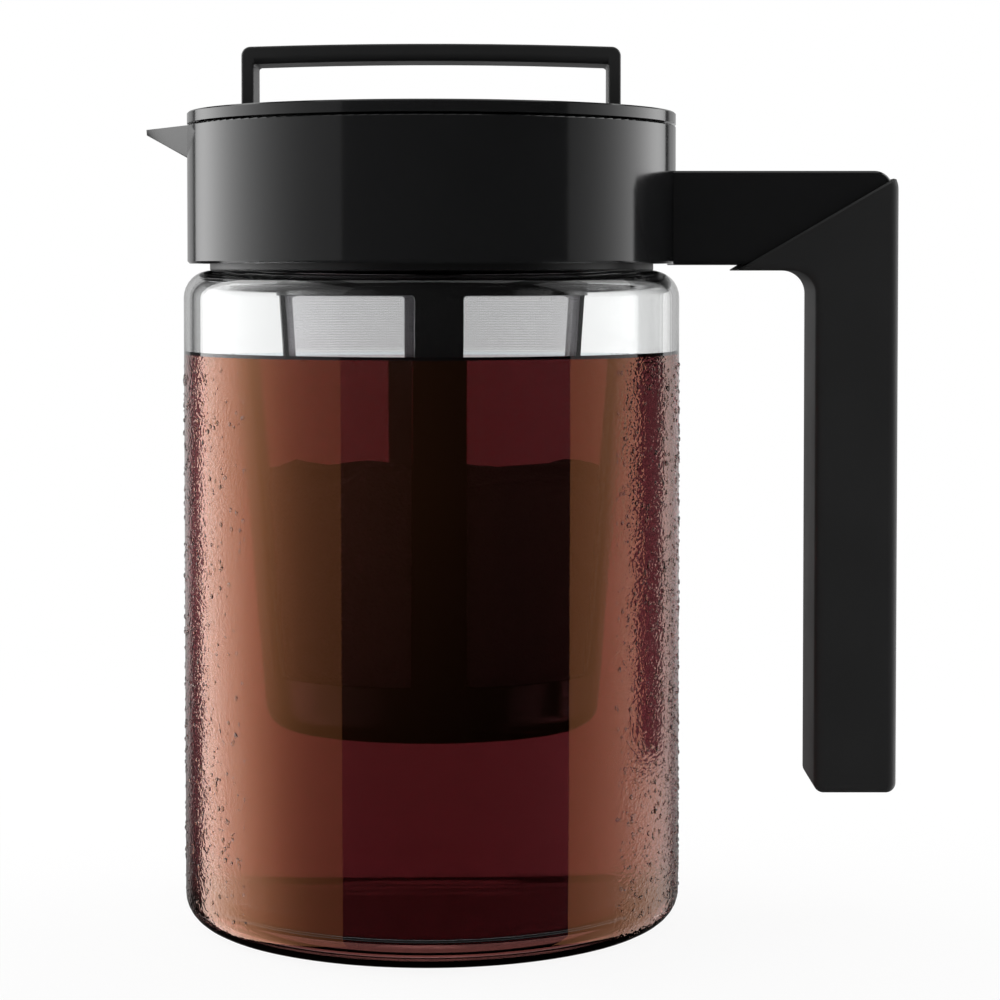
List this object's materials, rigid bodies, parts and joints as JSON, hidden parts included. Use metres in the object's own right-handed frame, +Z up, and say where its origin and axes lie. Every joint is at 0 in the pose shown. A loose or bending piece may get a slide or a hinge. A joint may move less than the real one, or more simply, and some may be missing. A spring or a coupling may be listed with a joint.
{
  "type": "cold brew coffee maker",
  "caption": "Clear lidded pitcher with a spouted collar, an L-shaped grip handle and a long mesh coffee filter hanging from its screwed lid, for brewing coffee cold.",
  "frame": {"origin": "middle of the pitcher's flat foot, on the pitcher's axis", "axes": "+Z up along the pitcher's axis, +X towards the handle, -X towards the spout"},
  "size_m": [0.1626, 0.108, 0.19],
  "materials": {
    "clear_plastic": "clear, polished",
    "black_plastic": "fine satin moulding",
    "soft_grip": "matt silicone",
    "soft_seal": "matt silicone",
    "screw_steel": "turned, plain",
    "filter_plastic": "smooth moulding",
    "filter_mesh": "fine woven nylon"
  },
  "bodies": {
    "pitcher": {"pitcher_body": "clear_plastic", "collar": "black_plastic", "neck_gasket": "soft_seal", "handle_core": "black_plastic", "handle_sleeve": "soft_grip", "handle_screws": "screw_steel"},
    "lid_seal": {"lid_seal": "soft_seal"},
    "lid": {"lid_cap": "black_plastic", "lid_strap": "black_plastic", "lid_plug": "black_plastic"},
    "filter_seal": {"filter_seal": "soft_seal"},
    "filter": {"filter_frame": "filter_plastic", "filter_mesh_front_left": "filter_mesh", "filter_mesh_front_right": "filter_mesh", "filter_mesh_rear_left": "filter_mesh", "filter_mesh_rear_right": "filter_mesh"}
  },
  "joints": [
    {"name": "lid_lift", "type": "slide", "parent": "pitcher", "child": "lid_seal", "axis": [0, 0, 1], "range_m": [0, 0.165]},
    {"name": "lid_twist", "type": "hinge", "parent": "lid_seal", "child": "lid", "pos_m": [0, 0, 0.17], "axis": [0, 0, 1], "range_deg": [0, 180]},
    {"name": "filter_drop", "type": "slide", "parent": "lid", "child": "filter_seal", "axis": [0, 0, -1], "range_m": [0, 0.03]},
    {"name": "filter_twist", "type": "hinge", "parent": "filter_seal", "child": "filter", "pos_m": [0, 0, 0.14], "axis": [0, 0, 1], "range_deg": [-180, 0]}
  ]
}
